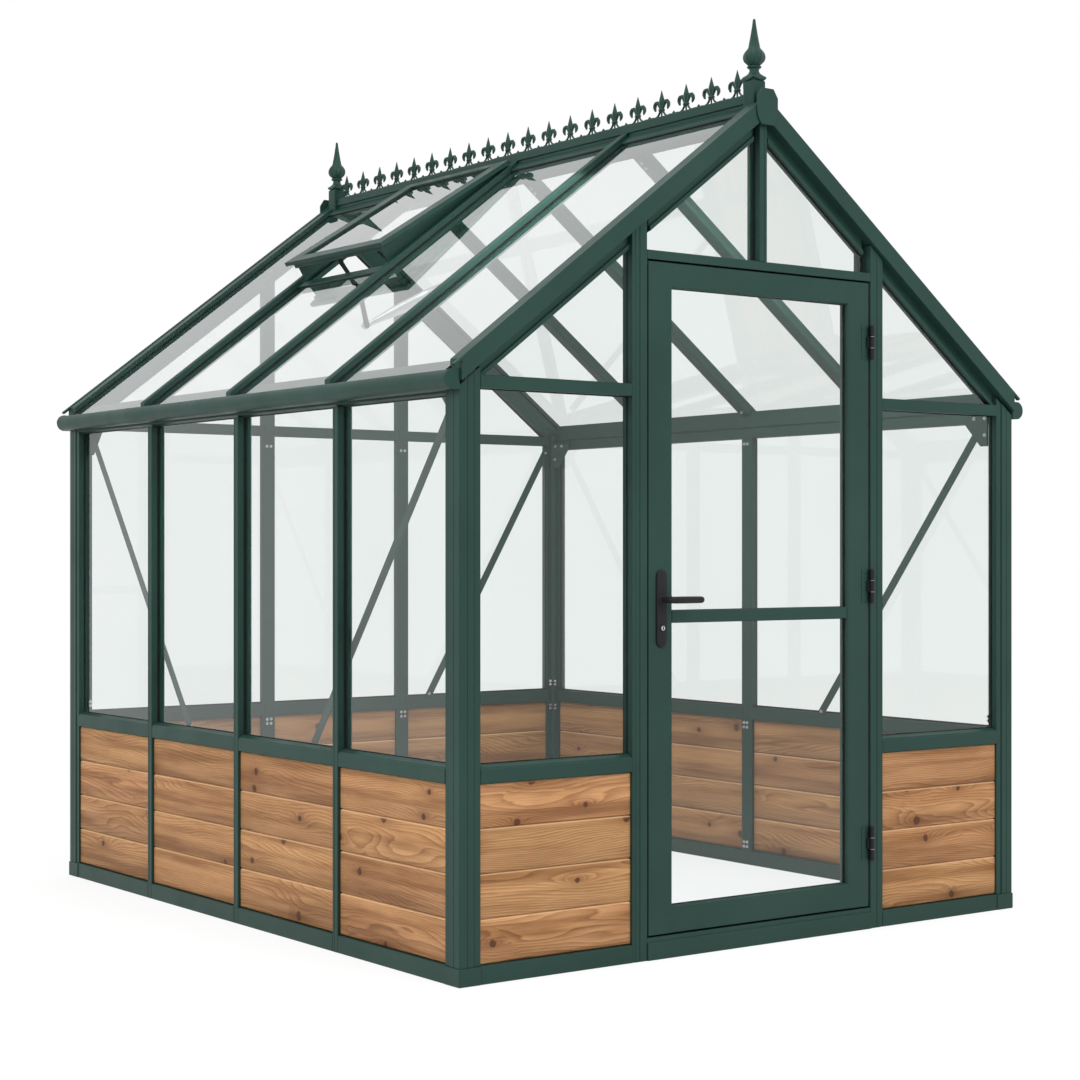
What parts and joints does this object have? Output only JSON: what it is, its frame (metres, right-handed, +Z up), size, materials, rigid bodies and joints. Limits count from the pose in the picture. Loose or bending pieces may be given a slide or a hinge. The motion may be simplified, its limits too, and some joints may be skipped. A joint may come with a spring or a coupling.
{
  "type": "glass greenhouse",
  "caption": "Gable-roofed walk-in greenhouse with a green aluminium frame, glazed walls and roof, boarded base walls, ridge cresting, a roof vent and a hinged glazed door.",
  "frame": {"origin": "middle of the outline's bounding box, on the ground under the base rails", "axes": "+Z up; the gable with the door faces -Y and the ridge runs along Y; +X to the right as seen from the door side"},
  "size_m": [2.341, 2.641, 2.827],
  "materials": {
    "green_powder_coat": "satin",
    "knotty_timber": "oiled",
    "clear_glass": "polished",
    "black_hardware": "matte",
    "opener_aluminium": "satin",
    "plated_steel": "brushed",
    "black_rubber": "matte"
  },
  "bodies": {
    "frame": {"base_rails": "green_powder_coat", "base_corner_caps": "green_powder_coat", "door_threshold": "green_powder_coat", "corner_columns": "green_powder_coat", "side_posts": "green_powder_coat", "door_posts": "green_powder_coat", "back_posts": "green_powder_coat", "sill_rails": "green_powder_coat", "side_board_panels": "knotty_timber", "gable_board_panels": "knotty_timber", "side_glass": "clear_glass", "gable_glass": "clear_glass", "eaves_beams": "green_powder_coat", "gutter_left": "green_powder_coat", "gutter_right": "green_powder_coat", "gutter_end_caps": "green_powder_coat", "gable_eaves_bars": "green_powder_coat", "door_transom": "green_powder_coat", "gable_mullion": "green_powder_coat", "bargeboards": "green_powder_coat", "gable_rafters": "green_powder_coat", "roof_bars_left": "green_powder_coat", "roof_bars_right": "green_powder_coat", "roof_glass": "clear_glass", "ridge_beam": "green_powder_coat", "ridge_cresting": "green_powder_coat", "finials": "green_powder_coat", "apex_plates": "green_powder_coat", "vent_frame": "green_powder_coat", "vent_glass": "clear_glass", "vent_sill_bar": "green_powder_coat", "vent_opener_arms": "black_hardware", "vent_opener_cylinder": "opener_aluminium", "wind_braces": "green_powder_coat", "corner_gussets": "green_powder_coat", "hinges_frame_side": "black_hardware"},
    "door": {"door_stiles": "green_powder_coat", "door_rails": "green_powder_coat", "door_mid_bar": "green_powder_coat", "door_glass": "clear_glass", "hinges_leaf_side": "black_hardware", "handle_plates": "black_hardware", "lock_cylinder": "plated_steel"},
    "lever": {"door_lever": "black_hardware"}
  },
  "joints": [
    {"name": "door_hinge", "type": "hinge", "parent": "frame", "child": "door", "pos_m": [0.453, -1.26945, 1.086], "axis": [0, 0, 1], "range_deg": [0, 110]},
    {"name": "lever_turn", "type": "hinge", "parent": "door", "child": "lever", "pos_m": [-0.402, -1.26945, 1.054], "axis": [0, 1, 0], "range_deg": [0, 40], "stiffness_Nm_per_rad": 2, "springref_deg": -20.05}
  ]
}
